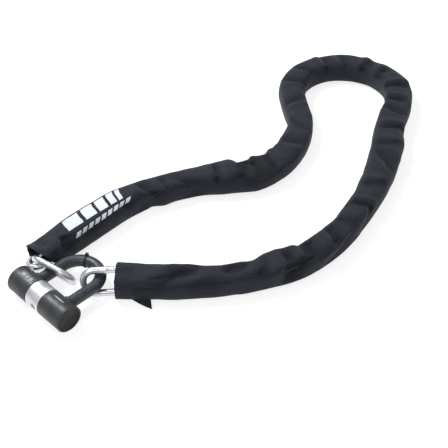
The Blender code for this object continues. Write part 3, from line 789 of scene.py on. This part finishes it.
class Route:
    """The sleeve's centre line on the floor, measured from the right mouth."""

    def __init__(self, points):
        self.curve = np.array([p[:2] for p in catmull(points, 24)])
        steps = np.linalg.norm(np.diff(self.curve, axis=0), axis=1)
        self.reach = np.concatenate([[0], np.cumsum(steps)])
        self.length = float(self.reach[-1])

    def at(self, s):
        return np.array([np.interp(s, self.reach, self.curve[:, k]) for k in (0, 1)])

    def heading(self, s):
        """Direction along the route, averaged over a short stretch."""
        ahead = self.at(min(s + 8, self.length)) - self.at(max(s - 8, 0))
        return ahead / np.linalg.norm(ahead)

    def level_heading(self, s):
        return np.append(self.heading(s), 0.0)

    def links(self, s):
        """Distance in links from the right end link."""
        return (s - RIGHT_MOUTH) / PITCH

    def distance(self, links):
        return RIGHT_MOUTH + links * PITCH


def sleeve_route(frame):
    """Route through the middle of every link, past the first and the last one."""
    centres = [np.array(ring_frame(frame["nodes"][name]).translation) for name in chain_links(frame)]
    first = np.array(joint_named(frame, "chain_swing")["pos_m"]) / MM
    heading = centres[0] - first
    heading = heading / np.linalg.norm(heading)
    step = centres[-1] - centres[-2]
    last = centres[-1] + step / np.linalg.norm(step) * PITCH / 2
    return Route([first - heading * RIGHT_MOUTH] + centres + [last])


# ---------------- sleeve surface

def soften(rows, times):
    """Average every row with its two neighbours, a number of times."""
    for _ in range(times):
        padded = np.concatenate([rows[:1], rows, rows[-1:]])
        rows = (padded[:-2] + 2 * padded[1:-1] + padded[2:]) / 4
    return rows


def section_sizes(links):
    """Inside width, outside width and height along the sleeve, with softly rounded corners."""
    table = np.array(SECTIONS)
    sizes = np.stack([np.interp(links, table[:, 0], table[:, k]) for k in (1, 2, 3)], axis=1)
    return soften(sizes, 2)


def plain_section(turns, sizes):
    """Sideways and upward places of the rounded-square section at every station."""
    c, s = np.cos(turns), np.sin(turns)
    power = 2.0 / SQUARENESS
    width = np.where(c[None, :] > 0, sizes[:, :1], sizes[:, 1:2])
    side = np.sign(c) * np.abs(c) ** power * width
    rise = (1 + np.sign(s) * np.abs(s) ** power) * sizes[:, 2:3] / 2
    return side, rise


def rim_bump(turns, middle, half_width, height):
    """A smooth hill round the section, centred on an angle."""
    return np.cos(np.clip((np.degrees(turns) - middle) / half_width, -1, 1) * math.pi / 2) ** 2 * height


def fold_depths(links, turns):
    """How far the folds push the fabric in, at every station and angle."""
    along = links[:, None] * PITCH
    around = np.degrees(turns)[None, :]
    around = np.where(around > 270, around - 360, around) * GIRTH / 360
    total = np.zeros((len(links), len(turns)))
    for from_link, from_turn, to_link, to_turn, width, depth in FOLDS:
        start = np.array([from_link * PITCH, from_turn * GIRTH / 360])
        run = np.array([to_link * PITCH, to_turn * GIRTH / 360]) - start
        length = np.linalg.norm(run)
        run = run / length
        ahead = ((along - start[0]) * run[0] + (around - start[1]) * run[1]) / length
        off = (around - start[1]) * run[0] - (along - start[0]) * run[1]
        taper = np.clip(1 - (2 * ahead - 1) ** 4, 0, 1) ** 1.5
        steep, broad = STEEP_SIDE * width, BROAD_SIDE * width
        valley = np.where(off < 0, np.exp(-(off / steep) ** 2), np.exp(-(off / broad) ** 2))
        ridge = np.exp(-((off + RIDGE_PLACE * steep) / (RIDGE_WIDTH * steep)) ** 2)
        total += depth * taper * (valley - RIDGE_HEIGHT * ridge)
    return total


def wrinkles(places, turns):
    """Small uneven ripples of the cloth, at every station and angle."""
    ripples = np.zeros((len(places), len(turns)))
    radius = GIRTH / (2 * math.pi)
    for k, turn in enumerate(turns):
        y, z = radius * math.cos(turn), radius * math.sin(turn)
        for i, place in enumerate(places):
            for length, width, shift, height in WRINKLES:
                ripples[i, k] += height * noise.noise(Vector((place / length, y / width + shift, z / width)))
    return ripples


def chain_reach(route, places, rings, angles):
    """Distance from the chain's middle to a tight wrap round the rings, at every station and angle."""
    reach = np.zeros((len(places), len(angles)))
    fans = np.radians(np.arange(0, 360, 7.5))
    gap = np.cos(angles[:, None] - fans[None, :])
    gap = np.where(gap > 0.1, gap, np.nan)
    for i, place in enumerate(places):
        centre, heading = route.at(place), route.heading(place)
        offset = rings[:, :2] - centre
        along, side = offset @ heading, offset @ np.array([-heading[1], heading[0]])
        near = (np.abs(along) < BAR / 2) & (np.abs(side) < CHAIN_SIDE)
        if not near.any():
            continue
        side, rise = side[near], rings[near, 2] - CHAIN_HEIGHT
        bar = np.sqrt((BAR / 2) ** 2 - along[near] ** 2)
        support = (side[:, None] * np.cos(fans) + rise[:, None] * np.sin(fans) + bar[:, None]).max(axis=0)
        reach[i] = np.nanmin(support[None, :] / gap, axis=1)
    widest = reach.copy()
    for shift in (1, 2):
        widest[shift:] = np.maximum(widest[shift:], reach[:-shift])
        widest[:-shift] = np.maximum(widest[:-shift], reach[shift:])
    return np.maximum(soften(widest, 3), reach) + CHAIN_CLEARANCE + WALL


class Sleeve:
    """Grid of points of the fabric tube: rows along the route, columns round the section."""

    def __init__(self, route, rings, left_link):
        self.route = route
        self.places = np.linspace(0.0, route.length, int(round(route.length / STEP)) + 1)
        self.turns = np.arange(AROUND) * 2 * math.pi / AROUND
        self.points = self.shaped_rows(rings)
        self.trim_right_mouth()
        self.trim_left_mouth(left_link)
        self.normals = self.vertex_normals()

    def shaped_rows(self, rings):
        """Section, folds and ripples, held off the floor and off the chain."""
        links = self.route.links(self.places)
        side, rise = plain_section(self.turns, section_sizes(links))
        high = rise - CHAIN_HEIGHT
        reach = np.hypot(side, high)
        folds = fold_depths(links, self.turns)
        # Painted shade: a darkening that grows with the fold's depth, kept on the mesh as the fold attribute.
        self.shade = FOLD_SHADE * np.clip(folds / DARKEST_FOLD, 0, 1)
        push = (wrinkles(self.places, self.turns) - folds) * np.clip(rise / FLOOR_HOLD, 0, 1)
        wanted = self.held_off(reach + push, np.arctan2(high, side), rings)
        side = side / reach * wanted
        rise = np.maximum(CHAIN_HEIGHT + high / reach * wanted, FLOOR_GAP)
        points = np.zeros((*side.shape, 3))
        for i, place in enumerate(self.places):
            centre, heading = self.route.at(place), self.route.heading(place)
            points[i, :, 0] = centre[0] - heading[1] * side[i]
            points[i, :, 1] = centre[1] + heading[0] * side[i]
            points[i, :, 2] = rise[i]
        return points

    def held_off(self, wanted, angles, rings):
        """Distances from the chain's middle, pushed out softly to where the chain holds the cloth."""
        even = np.radians(np.arange(-180, 181, 5.0))
        wrap = chain_reach(self.route, self.places, rings, even)
        tight = np.array([np.interp(row, even, held) for row, held in zip(angles, wrap)])
        over = wanted - tight
        return tight + 0.5 * (over + np.sqrt(over ** 2 + WRAP_SOFTNESS))

    def trim_right_mouth(self):
        """Let the lower lip of the right mouth reach out past the upper one."""
        heading = self.route.level_heading(0.0)
        lip = rim_bump(self.turns, *RIGHT_LIP)
        for i, place in enumerate(self.places):
            share = max(0.0, 1 - place / MOUTH_BLEND)
            self.points[i] -= (lip * share)[:, None] * heading

    def trim_left_mouth(self, left_link):
        """Slant the left mouth beside its end link, with a loose lip on its outer side."""
        normal = np.array(left_link.col[2].xyz)
        if normal[2] < 0:
            normal = -normal
        heading = self.route.level_heading(self.route.length)
        beside = BAR / 2 + LEFT_MOUTH - (self.points[-1] - np.array(left_link.translation)) @ normal
        reach = np.clip(beside / (heading @ normal) - rim_bump(self.turns, *LEFT_HOLD), *LEFT_REACH)
        lip = rim_bump(self.turns, *LEFT_LIP)
        inward = np.array([-heading[1], heading[0], 0.0])
        for i, place in enumerate(self.places):
            share = max(0.0, 1 - (self.route.length - place) / MOUTH_BLEND)
            self.points[i] += ((reach + lip) * share)[:, None] * heading
            self.points[i] += (LIP_INWARD * lip * share * share)[:, None] * inward

    def vertex_normals(self):
        """Outward normals of the grid, shared by the lengths so that no seam shows."""
        along = np.gradient(self.points, axis=0)
        round_it = np.roll(self.points, -1, axis=1) - np.roll(self.points, 1, axis=1)
        normals = np.cross(round_it, along)
        normals /= np.linalg.norm(normals, axis=2)[:, :, None]
        centre = self.points.mean(axis=1)[:, None, :]
        if ((self.points - centre) * normals).sum() < 0:
            normals = -normals
        return normals

    def row(self, links):
        """Number of the row nearest to a place counted in links."""
        return int(np.abs(self.places - self.route.distance(links)).argmin())

    def girth(self, first, last):
        """Mean length round the tube between two rows."""
        points = self.points[first:last + 1]
        sides = np.diff(points, axis=1, append=points[:, :1])
        return float(np.linalg.norm(sides, axis=2).sum(axis=1).mean())

    def at(self, s, turn):
        """Point and outward normal at a distance and an angle in radians."""
        i = np.interp(s, self.places, np.arange(len(self.places)))
        j = turn / (2 * math.pi) * AROUND
        i0 = min(int(i), len(self.places) - 2)
        j0 = int(math.floor(j))
        a, b = i - i0, j - j0
        found = []
        for grid in (self.points, self.normals):
            near, far = ((1 - b) * grid[row, j0 % AROUND] + b * grid[row, (j0 + 1) % AROUND]
                         for row in (i0, i0 + 1))
            found.append((1 - a) * near + a * far)
        return found


# ---------------- sleeve pieces

def rim_rows(points, normals, heading):
    """Rows that turn the fabric's edge over from its outside to its inside."""
    rows = []
    middle = points - normals * (WALL / 2)
    for turn in (45.0, 90.0, 135.0):
        c, s = math.cos(math.radians(turn)), math.sin(math.radians(turn))
        out = normals * c + heading * s
        rows.append((middle + out * WALL / 2, out))
    return rows


def sleeve_piece(name, sleeve, first, last, fabric, rims):
    """One closed length of the tube between two rows of the grid."""
    points, normals = sleeve.points[first:last + 1], sleeve.normals[first:last + 1]
    rows = list(zip(points, normals))
    if rims[1]:
        rows += rim_rows(points[-1], normals[-1], sleeve.route.level_heading(sleeve.places[last]))
    rows += [(row - normal * WALL, -normal) for row, normal in zip(points[::-1], normals[::-1])]
    if rims[0]:
        rows += rim_rows(points[0], normals[0], -sleeve.route.level_heading(sleeve.places[first]))[::-1]
    mesh = bpy.data.meshes.new(name)
    vertices = [Vector(p) * MM for row, _ in rows for p in row]
    mesh.from_pydata(vertices, [], tube_faces(len(rows), AROUND, True))
    mesh.shade_smooth()
    add_cloth_map(mesh, sleeve.places[first:last + 1], len(rows))
    # Painted fold shade for the outside rows; the rims and the inside get none.
    shade = np.zeros((len(rows), AROUND))
    shade[:len(points)] = sleeve.shade[first:last + 1]
    mesh.attributes.new("fold", "FLOAT", "POINT").data.foreach_set("value", shade.ravel())
    mesh.normals_split_custom_set_from_vertices([Vector(n).normalized() for _, row in rows for n in row])
    return new_object(name, mesh, fabric)


def add_cloth_map(mesh, places, count):
    """Flat coordinates of the fabric in metres, along the sleeve and round it."""
    layer = mesh.uv_layers.new(name="cloth")
    outside = len(places)
    for face in mesh.polygons:
        columns = [v % AROUND for v in face.vertices]
        wraps = max(columns) - min(columns) > 1
        for loop, vertex in zip(face.loop_indices, face.vertices):
            row, column = divmod(vertex, AROUND)
            if row >= outside:
                row = min(max(count - 1 - row, 0), outside - 1)
            if wraps and column == 0:
                column = AROUND
            layer.data[loop].uv = (places[row] * MM, GIRTH * column / AROUND * MM)


def hinge_span(frame, sleeve, joint_name):
    """Parent and child of a hinge, and the start and end of the bend across it, in metres."""
    joint = joint_named(frame, joint_name)
    pivot = np.array(joint["pos_m"]) / MM
    gaps = np.linalg.norm(np.array([sleeve.route.at(s) for s in sleeve.places]) - pivot[:2], axis=1)
    heading = sleeve.route.level_heading(sleeve.places[int(gaps.argmin())])
    start = (pivot - heading * BLEND_HALF) * MM
    end = (pivot + heading * BLEND_HALF) * MM
    return joint["parent"], joint["child"], tuple(start), tuple(end)


def add_sleeve(frame, sleeve, fabric):
    """Every length of the sleeve, each cut to lie across its own hinge."""
    first = 0
    for name, joint_name, ends_at, nodes in LENGTHS:
        last = len(sleeve.places) - 1 if ends_at is None else sleeve.row(ends_at)
        piece = sleeve_piece(name, sleeve, first, last, fabric, (first == 0, ends_at is None))
        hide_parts(*nodes)
        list(hinge_span(frame, sleeve, joint_name))
        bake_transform(piece)
        sleeve.girth(first, last) * MM
        first = last


# ---------------- print, tab and marks

def thin_piece(name, patches, thickness, material):
    """Thin closed solids from grids of (point, outward normal), all in one mesh."""
    points, faces = [], []
    for patch in patches:
        rows, columns = len(patch), len(patch[0])
        base = len(points)
        points += [p + n * thickness for row in patch for p, n in row]
        points += [p for row in patch for p, n in row]
        under = rows * columns
        for i in range(rows - 1):
            for k in range(columns - 1):
                a = base + i * columns + k
                quad = (a, a + 1, a + columns + 1, a + columns)
                faces.append(quad)
                faces.append(tuple(v + under for v in reversed(quad)))
        rim = [i * columns for i in range(rows)] + [(rows - 1) * columns + k for k in range(1, columns)]
        rim += [i * columns + columns - 1 for i in range(rows - 2, -1, -1)] + list(range(columns - 2, 0, -1))
        for here, there in zip(rim, rim[1:] + rim[:1]):
            faces.append((base + here, base + there, base + there + under, base + here + under))
    return mesh_piece(name, points, faces, material, sharp=50.0)


def sleeve_patch(sleeve, from_link, to_link, from_turn, to_turn, lift, lean=0.0):
    """A grid over the sleeve's surface between two places and two angles."""
    columns = max(3, int(abs(to_link - from_link) * PITCH / 1.6) + 2)
    rows = max(4, int(abs(to_turn - from_turn) * GIRTH / 360 / 1.2) + 2)
    patch = []
    for turn in np.linspace(from_turn, to_turn, rows):
        row = []
        for link in np.linspace(from_link, to_link, columns):
            place = sleeve.route.distance(link - lean * (turn - from_turn))
            point, normal = sleeve.at(place, math.radians(turn))
            row.append((point + normal * lift, normal))
        patch.append(row)
    return patch


def add_print(frame, sleeve, ink):
    """Generic white graphic near the left mouth; it follows the cloth's surface under it."""
    patches = [sleeve_patch(sleeve, start, end, *PRINT_BLOCK_TURNS, PRINT_LIFT, PRINT_LEAN)
               for start, end in PRINT_BLOCKS]
    for i in range(SMALL_BARS):
        here, there = i / SMALL_BARS, (i + SMALL_BAR_SHARE) / SMALL_BARS
        link, low, high = (a + (b - a) * here for a, b in zip(SMALL_FROM, SMALL_TO))
        end = SMALL_FROM[0] + (SMALL_TO[0] - SMALL_FROM[0]) * there
        patches.append(sleeve_patch(sleeve, link, end, low, high, PRINT_LIFT, SMALL_BAR_LEAN))
    piece = thin_piece("sleeve_print", patches, PRINT_THICKNESS, ink)
    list(hinge_span(frame, sleeve, "left_fold_inner"))
    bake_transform(piece)


def add_stitches(sleeve, thread):
    """A row of stitches along the hem of each mouth."""
    length, pitch, width = STITCH
    last = sleeve.route.links(sleeve.route.length)
    for side, link in (("right", -RIGHT_MOUTH / PITCH + HEM / PITCH), ("left", last - HEM / PITCH)):
        patches = []
        for turn in np.arange(*STITCHED_TURNS, pitch * 360 / GIRTH):
            ends_at = turn + length * 360 / GIRTH
            patches.append(sleeve_patch(sleeve, link, link + width / PITCH, turn, ends_at, STITCH_LIFT))
        stitches = thin_piece(side + "_hem_stitches", patches, STITCH_HEIGHT, thread)
        finish_piece(stitches, "chain_" + side + "_mouth", "nylon")


def add_tab(sleeve, fabric):
    """Loose corner of fabric that hangs from the outside of the sleeve down to the floor."""
    from_link, to_link, turn = TAB_ROOT
    tip = np.array(TAB_TIP)
    patch = []
    for across in np.linspace(0, 1, 10):
        row = []
        for link in np.linspace(from_link, to_link, 14):
            root, normal = sleeve.at(sleeve.route.distance(link), math.radians(turn))
            root = root - normal * TAB_TUCK
            point = root + (tip - root) * across * TAB_END
            ripple = TAB_RIPPLE * math.sin(math.pi * across) * (link - from_link)
            point[2] = tip[2] + (root[2] - tip[2]) * (1 - across) ** 2 + ripple
            row.append((point, np.array(UP)))
        patch.append(row)
    tab = thin_piece("sleeve_tab_flap", [patch], WALL, fabric)
    add_plain_map(tab)
    finish_piece(tab, "chain_right_mouth", "nylon", "sleeve_tab")


def add_plain_map(piece):
    """Cloth coordinates straight from above, in metres."""
    layer = piece.data.uv_layers.new(name="cloth")
    for loop in piece.data.loops:
        place = piece.data.vertices[loop.vertex_index].co
        layer.data[loop.index].uv = (place.x, place.y)


def body_patch(body, start, end, low, high, round_ends=False):
    """A grid over the round lock body; with round ends it is an oval."""
    patch = []
    for v in np.linspace(-1, 1, 13):
        shrink = math.sqrt(max(1 - v * v, 0.003)) if round_ends else 1.0
        angle = math.radians((low + high) / 2 + v * (high - low) / 2)
        out = Vector((0, math.cos(angle), math.sin(angle)))
        row = []
        for u in np.linspace(-1, 1, 9):
            along = (start + end) / 2 + u * shrink * (end - start) / 2
            point = body @ (Vector((along, 0, 0)) + out * (BODY_RADIUS + MARK_LIFT))
            row.append((np.array(point), np.array(body.to_3x3() @ out)))
        patch.append(row)
    return patch


def add_marks(body, pale):
    """Generic outlined label on the left cover and a small oval on the right one."""
    start, end, low, high = LABEL
    line, line_turn = LABEL_LINE
    spans = [(start, end, low, low + line_turn), (start, end, high - line_turn, high),
             (start, start + line, low, high), (end - line, end, low, high)]
    spans += [(*bar, *LABEL_BAR_TURNS) for bar in LABEL_BARS]
    patches = [body_patch(body, *span) for span in spans]
    label = thin_piece("left_cover_label", patches, MARK_THICKNESS, pale)
    finish_piece(label, "lock_body", "cover")
    oval = thin_piece("right_cover_oval", [body_patch(body, *OVAL, True)], MARK_THICKNESS, pale)
    finish_piece(oval, "lock_body", "cover")


# ---------------- scene

def paint_nodes(frame, paints):
    """Give the CAD nodes that still show a finished material."""
    slots = {part["node"]: part["material_slot"] for part in frame["record"]["subparts"]}
    for name, node in frame["nodes"].items():
        node.data.materials.clear()
        node.data.materials.append(paints[slots[name]])


def add_stage():
    """Floor that the lock lies on."""
    mesh = bpy.data.meshes.new("floor")
    signs = ((-1, -1), (1, -1), (1, 1), (-1, 1))
    mesh.from_pydata([(x * FLOOR_REACH, y * FLOOR_REACH, -FLOOR_DROP) for x, y in signs], [], [(0, 1, 2, 3)])
    new_object("floor", mesh, pale_floor())


def add_light(name, place, size, energy):
    """Square lamp aimed at the origin."""
    data = bpy.data.lights.new(name, "AREA")
    data.shape = "SQUARE"
    data.size = size
    data.energy = energy
    lamp = bpy.data.objects.new(name, data)
    lamp.location = place
    lamp.rotation_euler = (-Vector(place)).to_track_quat("-Z", "Y").to_euler()
    bpy.context.scene.collection.objects.link(lamp)


def add_studio():
    """Soft daylight from above, with a darker band near the horizon for the metal to reflect."""
    world = bpy.data.worlds.new("studio")
    bpy.context.scene.world = world
    world.use_nodes = True
    tree = world.node_tree
    rise = add_node(tree, "SeparateXYZ", {"Vector": add_node(tree, "TexCoord", {}, "Generated")}, "Z")
    ramp = tree.nodes.new("ShaderNodeValToRGB")
    low, high = ramp.color_ramp.elements
    low.position, high.position = 0.0, SKY_FROM
    low.color, high.color = HORIZON_COLOUR, SKY_COLOUR
    fill_inputs(ramp, {"Fac": rise})
    fill_inputs(tree.nodes["Background"], {"Color": ramp.outputs["Color"], "Strength": SKY_STRENGTH})
    add_light("key light", *KEY_LIGHT)
    add_light("front light", *FRONT_LIGHT)


def add_camera():
    data = bpy.data.cameras.new("camera")
    data.lens = CAMERA_LENS
    data.sensor_width = CAMERA_SENSOR
    camera = bpy.data.objects.new("camera", data)
    camera.location = CAMERA_PLACE
    camera.rotation_euler = (math.radians(CAMERA_TILT), 0, 0)
    bpy.context.scene.collection.objects.link(camera)
    bpy.context.scene.camera = camera


def clear_scene():
    for obj in list(bpy.data.objects):
        bpy.data.objects.remove(obj, do_unlink=True)


def main():
    clear_scene()
    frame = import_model()
    bpy.context.scene.view_settings.view_transform = "Standard"
    add_camera()
    add_stage()
    add_studio()
    body = body_frame(frame)

    fabric = nylon()
    zinc = plated("zinc plate", *ZINC)
    steel = machined("hardened steel", *HARD_STEEL)
    band = brushed_band(body)
    coat = moulded("textured coat", *COAT)
    vinyl = moulded("vinyl", *VINYL)
    black = moulded("black plastic", *BLACK_PLASTIC)
    paint_nodes(frame, {
        "steel": steel, "zinc": zinc, "band": band, "brass": machined("brass", *BRASS), "cover": coat,
        "cap": black, "vinyl": vinyl, "tie": black, "rubber": moulded("rubber", *RUBBER), "nylon": fabric,
    })

    plug_x = (body.inverted() @ (Vector(joint_named(frame, "key_turn")["pos_m"]) / MM)).x
    add_covers(body, coat)
    add_collars(body, coat)
    add_caps(body, black)
    add_band(body, band, plug_x)
    add_plug_face(body, band, black, plug_x)
    add_shackle(body, steel, vinyl)
    add_tie(body, black)
    add_rings(frame, zinc)

    sleeve = Sleeve(sleeve_route(frame), ring_points(frame), ring_frame(frame["nodes"]["left_end_link"]))
    add_sleeve(frame, sleeve, fabric)
    add_print(frame, sleeve, print_ink())
    add_stitches(sleeve, moulded("thread", *THREAD))
    add_tab(sleeve, fabric)
    add_marks(body, moulded("pale mark", *PALE_MARK))


main()
